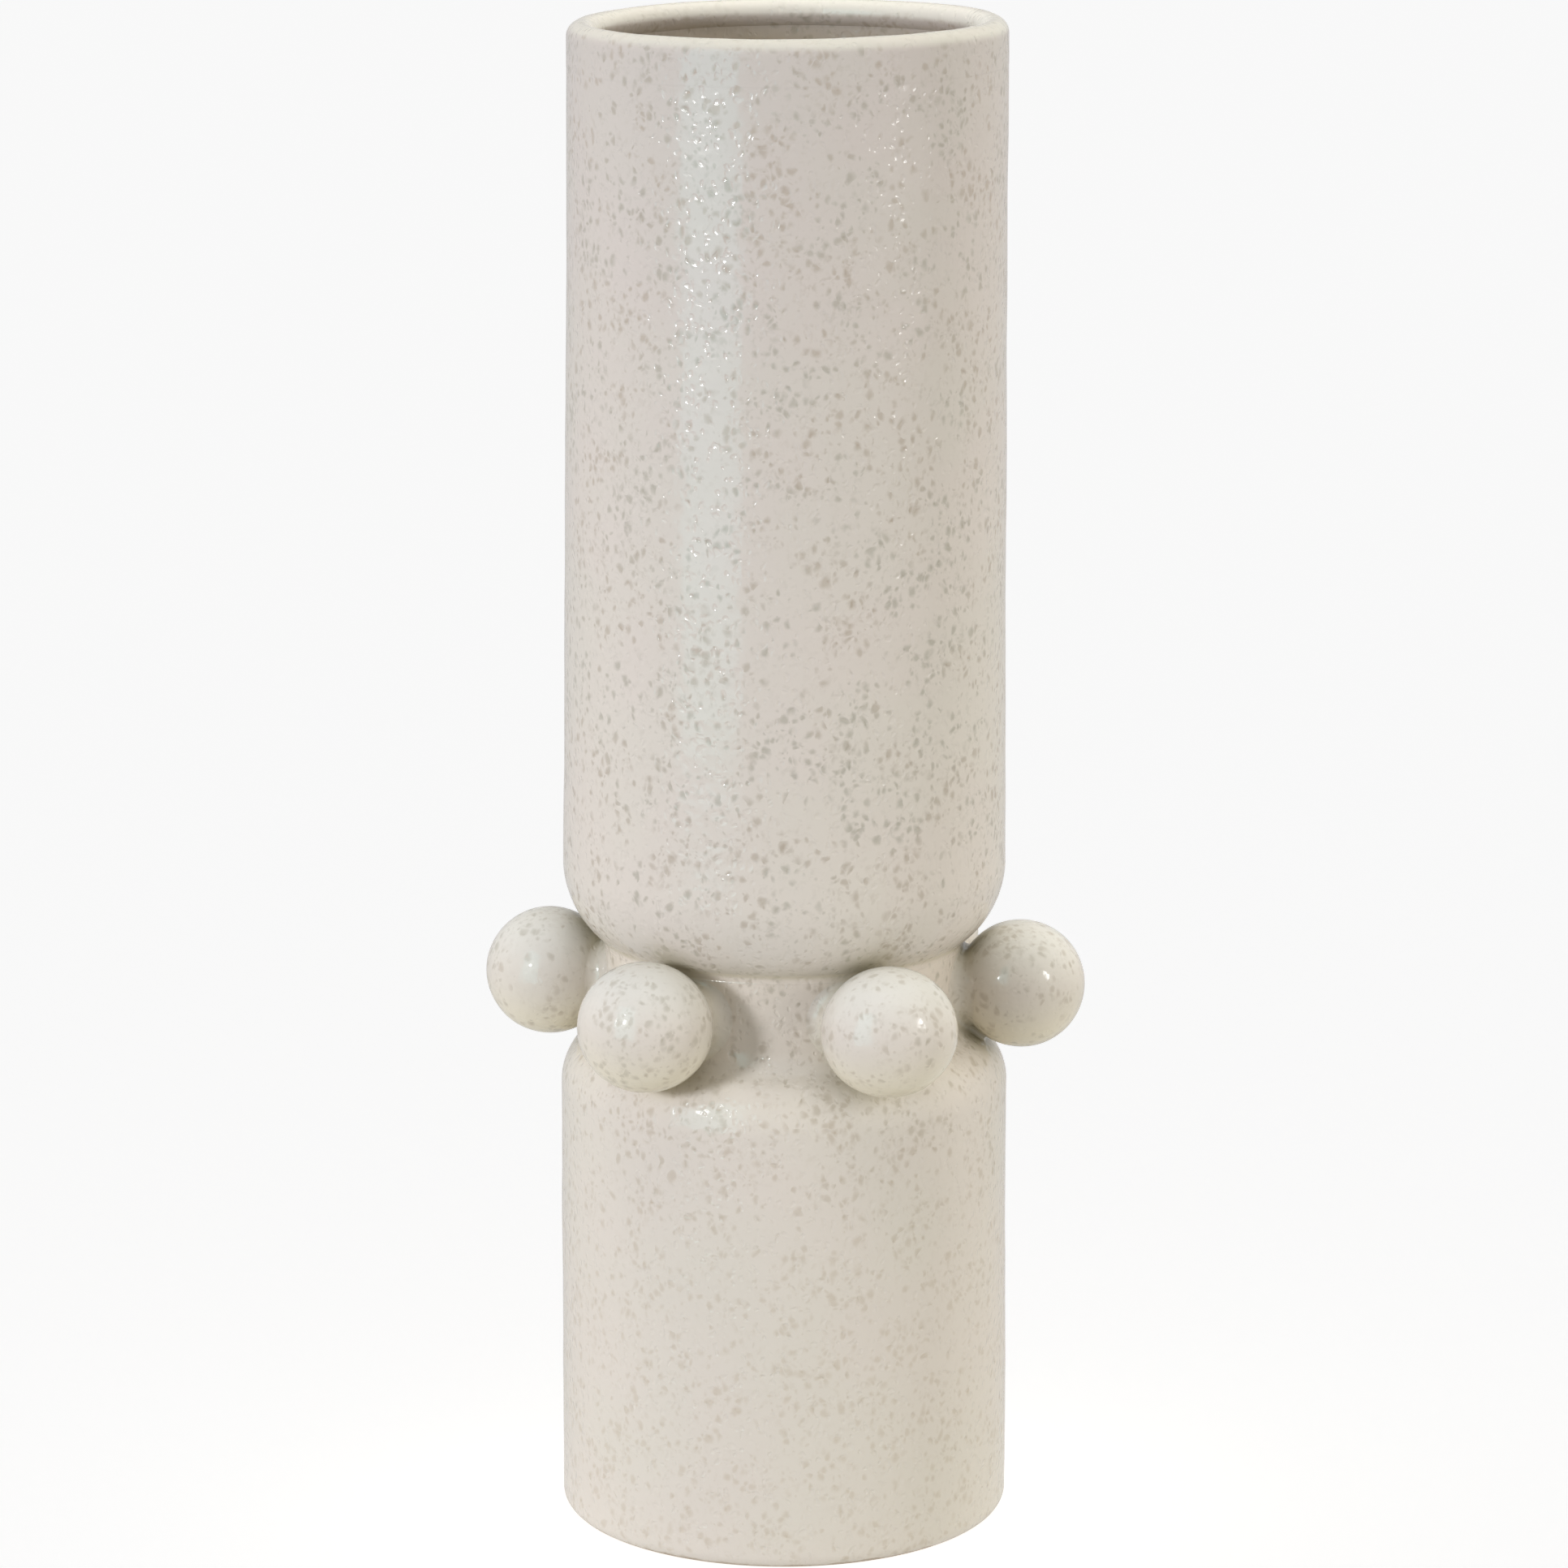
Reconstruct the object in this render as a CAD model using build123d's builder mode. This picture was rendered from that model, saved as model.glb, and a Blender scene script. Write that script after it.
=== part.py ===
"""A tall stoneware vase: two clay drums joined by a narrow waist that carries six clay balls.

The vase stands on z = 0 with its axis on Z. Ball 1 and ball 4 lie on the X axis, and the
side that is usually seen faces -Y. All sizes are in millimetres. The clay pieces are luted
together: wet slip fills a thin seam between each pair, so neighbours meet face to face.
"""
from build123d import *
import os
from math import acos, atan2, cos, degrees, radians, sin, sqrt

# ---------------------------------------------------------------- driving dimensions
height = 460.0            # floor to the crest of the rim
wall = 7.0                # thrown wall thickness
slip_seam = 0.6           # thickness of the slip between two luted pieces

foot_radius = 68.8        # outside of the vase at the floor
shoulder_radius = 68.4    # outside of the lower drum where its shoulder starts
bowl_radius = 67.3        # outside of the upper drum where its rounded bottom starts
rim_radius = 65.4         # outside of the rim
waist_radius = 55.0       # outside of the narrow waist

base_thickness = 8.0      # slab that closes the bottom
foot_edge = 4.2           # rounding of the bottom outside edge
foot_ring_width = 10.0    # flat ring that the vase stands on
foot_recess = 1.5         # depth of the turned hollow under the base
floor_coil_size = 6.0     # coil smoothed into the corner between floor and wall

shoulder_height = 135.2   # where the lower drum starts to turn inwards
shoulder_turn = 18.0      # radius of that turn, outside
waist_blend = 9.0         # hollow radius between the shoulder and the waist, outside
bowl_height = 204.5       # where the upper drum starts to turn inwards, going down
bowl_turn = 28.8          # radius of that turn, outside
rim_coil = 4.4            # half the thickness of the rolled rim
rim_tuck = 2.6            # how far the wall stands back from the centre of the rolled rim

ball_radius = 19.6
ball_wall = 6.0           # the balls are cast hollow
ball_pour_hole = 4.0      # radius of the casting hole, which ends up against the waist
ball_vent = 1.5           # radius of the pinhole through the waist into each ball
ball_height = 167.3       # height of the ball centres
ball_ring_radius = 72.6   # from the vase's axis to the ball centres
ball_joint_fillet = 3.0   # radius of the slip smoothed around each ball

# The balls are set by hand, so their spacing is uneven. Each has an opposite one.
half_ring_angles = (0.0, 61.8, 121.9)
ball_angles = [angle + turn for turn in (0.0, 180.0) for angle in half_ring_angles]

# ---------------------------------------------------------------- worked-out geometry
rim_center = (rim_radius - rim_coil, height - rim_coil)
rim_wall_inside = rim_center[0] - rim_tuck
rim_seam_height = height - 3 * rim_coil
rim_tuck_angle = 180 + degrees(acos(rim_tuck / rim_coil))

shoulder_center = (shoulder_radius - shoulder_turn, shoulder_height)
blend_offset = waist_radius + waist_blend - shoulder_center[0]
blend_rise = sqrt((shoulder_turn + waist_blend) ** 2 - blend_offset ** 2)
blend_center = (waist_radius + waist_blend, shoulder_height + blend_rise)
shoulder_angle = degrees(atan2(blend_rise, blend_offset))
shoulder_seam_angle = degrees(slip_seam / (shoulder_turn - wall / 2))

bowl_center = (bowl_radius - bowl_turn, bowl_height)
bowl_turn_inside = bowl_turn - wall
bowl_angle = degrees(acos((waist_radius - bowl_center[0]) / bowl_turn))
bowl_angle_inside = degrees(acos((waist_radius - wall - bowl_center[0]) / bowl_turn_inside))
crease_outside = (waist_radius, bowl_height - bowl_turn * sin(radians(bowl_angle)))
crease_inside = (
    waist_radius - wall,
    bowl_height - bowl_turn_inside * sin(radians(bowl_angle_inside)),
)

# The lower drum widens slightly towards the floor.
drum_slope = (foot_radius - shoulder_radius) / shoulder_height
wall_foot_radius = foot_radius - drum_slope * base_thickness
wall_foot_height = base_thickness + slip_seam


def upper_radius_at(level):
    """Outside radius of the upper drum, which narrows slightly towards the rim."""
    part_way = (level - bowl_height) / (rim_center[1] - bowl_height)
    return bowl_radius + (rim_radius - bowl_radius) * part_way


def below(point, drop):
    """The point moved straight down."""
    return (point[0], point[1] - drop)


def write(part, name):
    """Label a finished piece and write it to its own file."""
    part.label = name
    export_step(part, f"parts/{name}.step")


os.makedirs("parts", exist_ok=True)

# ---------------------------------------------------------------- base
with BuildPart() as base_disc:
    with BuildSketch(Plane.XZ):
        with BuildLine():
            Polyline(
                (0, foot_recess),
                (foot_radius - foot_edge - foot_ring_width - foot_recess, foot_recess),
                (foot_radius - foot_edge - foot_ring_width, 0),
                (foot_radius - foot_edge, 0),
            )
            CenterArc((foot_radius - foot_edge, foot_edge), foot_edge, -90, 90)
            Polyline(
                (foot_radius, foot_edge),
                (wall_foot_radius, base_thickness),
                (0, base_thickness),
                (0, foot_recess),
            )
        make_face()
    revolve(axis=Axis.Z)
write(base_disc.part, "base_disc")

with BuildPart() as base_slip_seam:
    with BuildSketch(Plane.XY.offset(base_thickness)):
        Circle(wall_foot_radius)
        Circle(wall_foot_radius - wall, mode=Mode.SUBTRACT)
    extrude(amount=slip_seam)
write(base_slip_seam.part, "base_slip_seam")

# ---------------------------------------------------------------- lower drum
with BuildPart() as lower_cylinder:
    with BuildSketch(Plane.XZ):
        with BuildLine():
            turn = shoulder_angle - shoulder_seam_angle
            outer_turn = CenterArc(shoulder_center, shoulder_turn, 0, turn)
            inner_turn = CenterArc(shoulder_center, shoulder_turn - wall, 0, turn)
            Line(outer_turn @ 1, inner_turn @ 1)
            Polyline(
                inner_turn @ 0,
                (wall_foot_radius - wall, wall_foot_height),
                (wall_foot_radius, wall_foot_height),
                outer_turn @ 0,
            )
        make_face()
    revolve(axis=Axis.Z)
write(lower_cylinder.part, "lower_cylinder")

with BuildPart() as floor_coil:
    with BuildSketch(Plane.XZ):
        with BuildLine():
            corner_radius = wall_foot_radius - wall
            wall_line = Line(
                (corner_radius, wall_foot_height),
                (shoulder_radius - wall, shoulder_height),
                mode=Mode.PRIVATE,
            )
            coil_top = wall_line @ (floor_coil_size / (shoulder_height - wall_foot_height))
            coil_toe = (corner_radius - floor_coil_size, base_thickness)
            Polyline(
                coil_toe,
                (corner_radius, base_thickness),
                (corner_radius, wall_foot_height),
                coil_top,
            )
            RadiusArc(coil_toe, coil_top, floor_coil_size)
        make_face()
    revolve(axis=Axis.Z)
write(floor_coil.part, "floor_coil")

with BuildPart() as shoulder_slip_seam:
    with BuildSketch(Plane.XZ):
        with BuildLine():
            start = shoulder_angle - shoulder_seam_angle
            outer_edge = CenterArc(shoulder_center, shoulder_turn, start, shoulder_seam_angle)
            inner_edge = CenterArc(
                shoulder_center, shoulder_turn - wall, start, shoulder_seam_angle
            )
            Line(outer_edge @ 0, inner_edge @ 0)
            Line(outer_edge @ 1, inner_edge @ 1)
        make_face()
    revolve(axis=Axis.Z)
write(shoulder_slip_seam.part, "shoulder_slip_seam")

# ---------------------------------------------------------------- waist
with BuildPart() as waist_collar:
    with BuildSketch(Plane.XZ):
        with BuildLine():
            outer_blend = CenterArc(blend_center, waist_blend, 180, shoulder_angle)
            inner_blend = CenterArc(blend_center, waist_blend + wall, 180, shoulder_angle)
            Line(outer_blend @ 1, inner_blend @ 1)
            Polyline(
                outer_blend @ 0,
                below(crease_outside, slip_seam),
                below(crease_inside, slip_seam),
                inner_blend @ 0,
            )
        make_face()
    revolve(axis=Axis.Z)
    for angle in ball_angles:
        vent_plane = Plane(
            origin=(0, 0, ball_height),
            z_dir=(cos(radians(angle)), sin(radians(angle)), 0),
        )
        with BuildSketch(vent_plane):
            Circle(ball_vent)
        extrude(amount=waist_radius + wall, mode=Mode.SUBTRACT)
write(waist_collar.part, "waist_collar")

with BuildPart() as waist_slip_seam:
    with BuildSketch(Plane.XZ):
        with BuildLine():
            Polyline(
                below(crease_outside, slip_seam),
                crease_outside,
                crease_inside,
                below(crease_inside, slip_seam),
                close=True,
            )
        make_face()
    revolve(axis=Axis.Z)
write(waist_slip_seam.part, "waist_slip_seam")

# ---------------------------------------------------------------- upper drum and rim
with BuildPart() as upper_cylinder:
    with BuildSketch(Plane.XZ):
        with BuildLine():
            outer_bowl = CenterArc(bowl_center, bowl_turn, -bowl_angle, bowl_angle)
            inner_bowl = CenterArc(
                bowl_center, bowl_turn_inside, -bowl_angle_inside, bowl_angle_inside
            )
            wall_top = rim_seam_height - slip_seam
            Line(outer_bowl @ 0, inner_bowl @ 0)
            Polyline(
                outer_bowl @ 1,
                (upper_radius_at(wall_top), wall_top),
                (rim_wall_inside, wall_top),
                inner_bowl @ 1,
            )
        make_face()
    revolve(axis=Axis.Z)
write(upper_cylinder.part, "upper_cylinder")

with BuildPart() as rim_slip_seam:
    with BuildSketch(Plane.XY.offset(rim_seam_height - slip_seam)):
        Circle(upper_radius_at(rim_seam_height - slip_seam))
        Circle(rim_wall_inside, mode=Mode.SUBTRACT)
    extrude(amount=slip_seam)
write(rim_slip_seam.part, "rim_slip_seam")

with BuildPart() as rim_lip:
    with BuildSketch(Plane.XZ):
        with BuildLine():
            roll = CenterArc(rim_center, rim_coil, 0, rim_tuck_angle)
            Polyline(
                roll @ 0,
                (upper_radius_at(rim_seam_height), rim_seam_height),
                (rim_wall_inside, rim_seam_height),
                roll @ 1,
            )
        make_face()
    revolve(axis=Axis.Z)
write(rim_lip.part, "rim_lip")

# ---------------------------------------------------------------- balls and their joints
# The outer shape of the vase around the waist, which trims the slip of the ball joints.
with BuildPart() as waist_outline:
    with BuildSketch(Plane.XZ):
        with BuildLine():
            Line((0, shoulder_height), (shoulder_radius, shoulder_height))
            CenterArc(shoulder_center, shoulder_turn, 0, shoulder_angle)
            blend = CenterArc(blend_center, waist_blend, 180, shoulder_angle)
            Line(blend @ 0, crease_outside)
            CenterArc(bowl_center, bowl_turn, -bowl_angle, bowl_angle)
            Polyline((bowl_radius, bowl_height), (0, bowl_height), (0, shoulder_height))
        make_face()
    revolve(axis=Axis.Z)

# One ball and its joint are made on the X axis, then turned into their six places.
ball_center = (ball_ring_radius, 0, ball_height)
ball_plane = Plane(origin=ball_center, z_dir=(1, 0, 0))

with BuildPart() as ball:
    with Locations(ball_plane):
        Sphere(ball_radius)
        Sphere(ball_radius - ball_wall, mode=Mode.SUBTRACT)
    with BuildSketch(ball_plane):
        Circle(ball_pour_hole)
    extrude(amount=-ball_radius, mode=Mode.SUBTRACT)
    add(waist_outline.part, mode=Mode.SUBTRACT)

# The slip fills the wedge between ball and waist, so it is what a fillet adds to them.
with BuildPart() as ball_slip_joint:
    with BuildSketch(Plane.XY.offset(shoulder_height)):
        Circle(waist_radius)
    extrude(amount=bowl_height - shoulder_height)
    with Locations(ball_plane):
        Sphere(ball_radius)
    fillet(edges().filter_by(GeomType.BSPLINE), radius=ball_joint_fillet)
    add(waist_outline.part, mode=Mode.SUBTRACT)
    with Locations(ball_plane):
        Sphere(ball_radius, mode=Mode.SUBTRACT)

for number, angle in enumerate(ball_angles, start=1):
    write(ball.part.rotate(Axis.Z, angle), f"ball_{number}")
    write(ball_slip_joint.part.rotate(Axis.Z, angle), f"ball_slip_joint_{number}")
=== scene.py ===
"""Looks for the stoneware vase: glazed skins for its clay pieces, floor, soft light and camera.

Everything is in metres in the CAD model's frame. Each visible piece stands for one CAD node and
follows its shape. All pieces pass through the same small hand-made unevenness, so they still meet.
"""

import math

import bmesh
import bpy
import numpy as np
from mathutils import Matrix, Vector, noise


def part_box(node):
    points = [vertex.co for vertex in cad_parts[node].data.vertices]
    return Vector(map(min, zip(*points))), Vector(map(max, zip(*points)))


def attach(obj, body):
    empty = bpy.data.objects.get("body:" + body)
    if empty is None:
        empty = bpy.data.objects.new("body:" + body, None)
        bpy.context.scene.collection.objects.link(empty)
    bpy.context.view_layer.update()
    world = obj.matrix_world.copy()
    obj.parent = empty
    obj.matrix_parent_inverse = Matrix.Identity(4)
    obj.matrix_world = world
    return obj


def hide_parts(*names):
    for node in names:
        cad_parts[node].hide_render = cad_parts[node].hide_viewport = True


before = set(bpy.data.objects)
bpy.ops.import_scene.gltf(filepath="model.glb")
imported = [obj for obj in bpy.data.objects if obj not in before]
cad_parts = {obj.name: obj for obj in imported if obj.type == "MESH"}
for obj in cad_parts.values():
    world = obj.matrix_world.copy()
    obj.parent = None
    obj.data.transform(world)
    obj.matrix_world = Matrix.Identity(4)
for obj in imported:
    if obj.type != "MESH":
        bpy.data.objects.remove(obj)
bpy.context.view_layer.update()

MM = 0.001

# ---------------------------------------------------------------- sizes
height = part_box("rim_lip")[1].z
rim_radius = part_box("rim_lip")[1].x
rim_seam_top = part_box("rim_lip")[0].z
bowl_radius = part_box("upper_cylinder")[1].x
waist_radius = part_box("waist_slip_seam")[1].x
crease_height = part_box("upper_cylinder")[0].z
drum_top_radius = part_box("rim_slip_seam")[1].x
foot_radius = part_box("base_disc")[1].x
base_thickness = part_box("base_disc")[1].z
ball_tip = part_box("ball_1")[1]

wall = 7.0 * MM
slip_seam = 0.6 * MM
shoulder_radius = 68.4 * MM
shoulder_height = 135.2 * MM
shoulder_turn = 18.0 * MM
waist_blend = 9.0 * MM
bowl_turn = 28.8 * MM
rim_coil = 4.4 * MM
rim_tuck = 2.6 * MM
foot_edge = 4.2 * MM
foot_ring_width = 10.0 * MM
foot_recess = 1.5 * MM
floor_coil_size = 6.0 * MM
ball_radius = 19.6 * MM
ball_wall = 6.0 * MM
ball_pour_hole = 4.0 * MM
ball_ring_radius = ball_tip.x - ball_radius
ball_height = ball_tip.z - ball_radius
ball_width = 1.05           # each ball is pressed on, so it is a little wider than deep
ball_flatness = 0.99
crease_fillet = 4.0 * MM    # slip smoothed into the corner between the waist and the bowl

rim_center = (rim_radius - rim_coil, height - rim_coil)
rim_wall_inside = rim_center[0] - rim_tuck
rim_tuck_angle = 180 + math.degrees(math.acos(rim_tuck / rim_coil))

shoulder_center = (shoulder_radius - shoulder_turn, shoulder_height)
blend_offset = waist_radius + waist_blend - shoulder_center[0]
blend_rise = math.sqrt((shoulder_turn + waist_blend) ** 2 - blend_offset**2)
blend_center = (waist_radius + waist_blend, shoulder_height + blend_rise)
shoulder_angle = math.degrees(math.atan2(blend_rise, blend_offset))
shoulder_seam_angle = math.degrees(slip_seam / (shoulder_turn - wall / 2))
shoulder_end_height = shoulder_height + shoulder_turn * math.sin(math.radians(shoulder_angle))

bowl_reach = waist_radius - bowl_radius + bowl_turn
bowl_center = (bowl_radius - bowl_turn, crease_height + math.sqrt(bowl_turn**2 - bowl_reach**2))
bowl_turn_inside = bowl_turn - wall
bowl_angle = math.degrees(math.acos(bowl_reach / bowl_turn))
bowl_angle_inside = math.degrees(math.acos((bowl_reach - wall) / bowl_turn_inside))
crease_inside = (
    waist_radius - wall,
    bowl_center[1] - bowl_turn_inside * math.sin(math.radians(bowl_angle_inside)),
)
drum_slope = (foot_radius - shoulder_radius) / shoulder_height
wall_foot_radius = foot_radius - drum_slope * base_thickness


def outside_radius(level):
    """Radius of the vase's outer surface at a level between the lower drum and the bowl."""
    if level < shoulder_height:
        return shoulder_radius
    if level < shoulder_end_height:
        rise = level - shoulder_height
        return shoulder_center[0] + math.sqrt(shoulder_turn**2 - rise**2)
    if level < blend_center[1]:
        drop = blend_center[1] - level
        return blend_center[0] - math.sqrt(waist_blend**2 - drop**2)
    if level < crease_height:
        return waist_radius
    drop = max(0.0, bowl_center[1] - level)
    return bowl_center[0] + math.sqrt(bowl_turn**2 - drop**2)


def clamped(share):
    return min(1.0, max(0.0, share))


# ---------------------------------------------------------------- hand-made unevenness
camera_azimuth = math.radians(6.5)    # the camera stands this far round from -Y towards +X
lean_direction = (math.cos(camera_azimuth), math.sin(camera_azimuth))
lean = 1.1 * MM             # how far the rim leans over
rim_dip = 0.6 * MM          # how far one side of the rim stands up, and the other dips
swell = 0.30 * MM           # slow swelling of the thrown clay
swell_size = 42 * MM
dent = 0.10 * MM            # finger-sized unevenness
dent_size = 13 * MM
noise.seed_set(5)           # without a seed the noise vectors would change from run to run


def handmade(point):
    """Where the hand-built vase has this point of the perfectly turned one."""
    x, y, z = point
    rise = clamped((z - crease_height) / (height - crease_height))
    across = (x * lean_direction[0] + y * lean_direction[1]) / rim_radius
    shift = lean * rise
    grounded = min(1.0, z / (10 * MM))
    slow = noise.noise_vector(Vector(point) / swell_size) * swell
    fine = noise.noise_vector(Vector(point) / dent_size) * dent
    moved = Vector(point) + (slow + fine) * grounded
    moved.x += shift * lean_direction[0]
    moved.y += shift * lean_direction[1]
    moved.z += rim_dip * rise**3 * across
    return moved


# ---------------------------------------------------------------- crevices, mouth and inside
ball_count = 6
crevice_reach = 3.2 * MM    # how far out of a crevice its darkening shows: gathered glaze and painted shade
crevice_band = 37 * MM      # no crevice is farther than this from the level of the balls
crease_reach = 6.0 * MM
crease_depth = 0.50         # how strong the painted shade is in the open crease, on the bowl's side only
crease_edge = 1.5 * MM      # how fast it starts there
inner_start = 4.0 * MM      # the inner wall's color starts this deep under the outer surface
inner_fade = 2.0 * MM
under_rim_start = 6.4 * MM  # and this far below the top of the rim
under_rim_fade = 16.0 * MM


def ball_azimuth(number):
    """Direction of a ball from the vase's axis."""
    low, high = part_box(f"ball_{number}")
    center = (low + high) / 2
    return math.atan2(center.y, center.x)


ball_angles = [ball_azimuth(number) for number in range(1, ball_count + 1)]


def ball_distance(point, angle):
    """Roughly how far a point is from the surface of the ball at that angle."""
    x, y, z = point
    out = x * math.cos(angle) + y * math.sin(angle) - ball_ring_radius
    across = (y * math.cos(angle) - x * math.sin(angle)) / ball_width
    up = (z - ball_height) / ball_flatness
    return abs(math.sqrt(out**2 + across**2 + up**2) - ball_radius)


def crevice_at(point):
    """1 in the bottom of a crevice between a ball or the bowl and the waist, 0 well away. It darkens
    the glaze there: gathered glaze, and painted shade.
    """
    x, y, z = point
    if abs(z - ball_height) > crevice_band:
        return 0.0
    radius = math.hypot(x, y)
    off_body = abs(radius - outside_radius(z))
    off_ball = min(ball_distance(point, angle) for angle in ball_angles)
    off_crease = math.hypot(radius - waist_radius, z - crease_height)
    beside_ball = math.exp(-(off_body + off_ball) / crevice_reach)
    on_bowl = clamped(0.7 + (z - crease_height) / crease_edge)
    return max(beside_ball, on_bowl * crease_depth * math.exp(-off_crease / crease_reach))


def mouth_at(point):
    """1 on the inner side of the rolled rim and below it, 0 on the outside."""
    return clamped((rim_center[0] - math.hypot(point[0], point[1])) / (0.5 * rim_coil))


def inside_at(point):
    """1 on the inner wall of the vase, 0 on the outside and on the rim."""
    x, y, z = point
    into_wall = outside_radius(z) - math.hypot(x, y) - inner_start
    under_rim = height - z - under_rim_start
    return clamped(into_wall / inner_fade) * clamped(under_rim / under_rim_fade)


# ---------------------------------------------------------------- mesh helpers
steps_around = 360
outer_step = 1.75 * MM      # faces are about this tall on the outer wall,
hidden_step = 3.0 * MM      # on the walls that are hardly seen,
waist_step = 1.0 * MM       # and on the waist, where the balls cast their shadows
corner_turn = math.radians(30)    # a profile that turns more than this has a crisp corner


def arc(center, radius, start, end, step=1.5):
    """Points of (radius, height) on an arc, angles in degrees."""
    count = max(2, int(abs(end - start) / step) + 1)
    angles = np.radians(np.linspace(start, end, count))
    return [(center[0] + radius * math.cos(a), center[1] + radius * math.sin(a)) for a in angles]


def line(start, end, step=outer_step):
    """Points of (radius, height) on a straight stretch."""
    count = max(2, int(math.dist(start, end) / step) + 1)
    return [tuple(point) for point in np.linspace(start, end, count)]


def joined(*stretches):
    """One list of points from stretches that follow each other, repeated points left out."""
    points = []
    for stretch in stretches:
        for point in stretch:
            if not points or math.dist(points[-1], point) > 1e-7:
                points.append(point)
    return points


def turn_at(before, here, after):
    """Angle by which a path turns at a point."""
    one = Vector(here) - Vector(before)
    two = Vector(after) - Vector(here)
    return one.angle(two, 0.0)


def mark(mesh, name, values):
    """Stores one number per point, for the material to read."""
    mesh.attributes.new(name, "FLOAT", "POINT").data.foreach_set("value", values)


def mesh_piece(name, points, faces, sharp_edges):
    """A smooth-shaded piece with hand-made unevenness, and crisp edges where it has corners."""
    mesh = bpy.data.meshes.new(name)
    mesh.from_pydata([handmade(p) for p in points], [], faces)
    mark(mesh, "crevice", [crevice_at(p) for p in points])
    mark(mesh, "inside", [inside_at(p) for p in points])
    mark(mesh, "mouth", [mouth_at(p) for p in points])
    bm = bmesh.new()
    bm.from_mesh(mesh)
    bmesh.ops.recalc_face_normals(bm, faces=bm.faces)
    for face in bm.faces:
        face.smooth = True
    bm.verts.ensure_lookup_table()
    for a, b in sharp_edges:
        edge = bm.edges.get((bm.verts[a], bm.verts[b]))
        if edge:
            edge.smooth = False
    bm.to_mesh(mesh)
    bm.free()
    piece = bpy.data.objects.new(name, mesh)
    bpy.context.scene.collection.objects.link(piece)
    return piece


def swept(name, sections, place):
    """A closed skin through ring-shaped rows of points.

    sections[i] is the profile at step i around, and place(i, point) puts its points in space.
    A profile point on the axis, where radius is 0, becomes one pole.
    """
    steps = len(sections)
    count = len(sections[0])
    on_axis = [all(abs(section[k][0]) < 1e-9 for section in sections) for k in range(count)]
    points = []
    index = {}
    for i, section in enumerate(sections):
        for k in range(count):
            if on_axis[k] and i > 0:
                index[i, k] = index[0, k]
                continue
            index[i, k] = len(points)
            points.append(place(i, section[k]))
    faces = []
    sharp = []
    closed = not (on_axis[0] and on_axis[-1])
    for i in range(steps):
        j = (i + 1) % steps
        for k in range(count if closed else count - 1):
            m = (k + 1) % count
            corners = [index[i, k], index[j, k], index[j, m], index[i, m]]
            face = list(dict.fromkeys(corners))
            faces.append(face)
        for k in range(count):
            if on_axis[k]:
                continue
            section = sections[i]
            if turn_at(section[k - 1], section[k], section[(k + 1) % count]) > corner_turn:
                sharp.append((index[i, k], index[j, k]))
    return mesh_piece(name, points, faces, sharp)


def turned(name, profile):
    """A piece turned about the vase's axis from its profile of (radius, height)."""
    turns = [2 * math.pi * i / steps_around for i in range(steps_around)]

    def place(i, point):
        return point[0] * math.cos(turns[i]), point[0] * math.sin(turns[i]), point[1]

    return swept(name, [profile] * steps_around, place)


# ---------------------------------------------------------------- turned pieces
def make_base():
    ring_outside = foot_radius - foot_edge
    ring_inside = ring_outside - foot_ring_width
    return turned("base", joined(
        line((0, foot_recess), (ring_inside - foot_recess, foot_recess), 2 * hidden_step),
        line((ring_inside - foot_recess, foot_recess), (ring_inside, 0)),
        line((ring_inside, 0), (ring_outside, 0)),
        arc((ring_outside, foot_edge), foot_edge, -90, 0, 6),
        line((foot_radius, foot_edge), (wall_foot_radius, base_thickness)),
        line((wall_foot_radius, base_thickness), (0, base_thickness), hidden_step),
    ))


def make_base_seam():
    inside = wall_foot_radius - wall
    top = base_thickness + slip_seam
    return turned("base_seam", [
        (inside, base_thickness),
        (wall_foot_radius, base_thickness),
        (wall_foot_radius, top),
        (inside, top),
    ])


def make_floor_coil():
    inside = wall_foot_radius - wall
    foot = base_thickness + slip_seam
    share = floor_coil_size / (shoulder_height - foot)
    top = (inside + (shoulder_radius - wall - inside) * share, foot + floor_coil_size)
    toe = (inside - floor_coil_size, base_thickness)
    middle = ((top[0] + toe[0]) / 2, (top[1] + toe[1]) / 2)
    half = math.dist(top, toe) / 2
    back = math.sqrt(max(0.0, floor_coil_size**2 - half**2))
    away = ((toe[1] - top[1]) / (2 * half), (top[0] - toe[0]) / (2 * half))
    center = (middle[0] + away[0] * back, middle[1] + away[1] * back)
    start = math.degrees(math.atan2(toe[1] - center[1], toe[0] - center[0])) % 360
    end = math.degrees(math.atan2(top[1] - center[1], top[0] - center[0])) % 360
    if end < start:
        end += 360
    before_toe = (toe[0] + 0.5 * MM, base_thickness)    # from here the profile closes at the toe
    return turned("floor_coil", joined(
        arc(center, floor_coil_size, start, end, 8),
        line(top, (inside, foot), hidden_step),
        line((inside, foot), (inside, base_thickness)),
        line((inside, base_thickness), before_toe, hidden_step),
    ))


def make_lower_drum():
    turn = shoulder_angle - shoulder_seam_angle
    foot = base_thickness + slip_seam
    outer = arc(shoulder_center, shoulder_turn, 0, turn)
    inner = arc(shoulder_center, shoulder_turn - wall, turn, 0, 4)
    return turned("lower_drum", joined(
        line((wall_foot_radius, foot), outer[0]),
        outer,
        inner,
        line(inner[-1], (wall_foot_radius - wall, foot), hidden_step),
    ))


def make_shoulder_seam():
    start = shoulder_angle - shoulder_seam_angle
    return turned("shoulder_seam", joined(
        arc(shoulder_center, shoulder_turn, start, shoulder_angle),
        arc(shoulder_center, shoulder_turn - wall, shoulder_angle, start),
    ))


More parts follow.
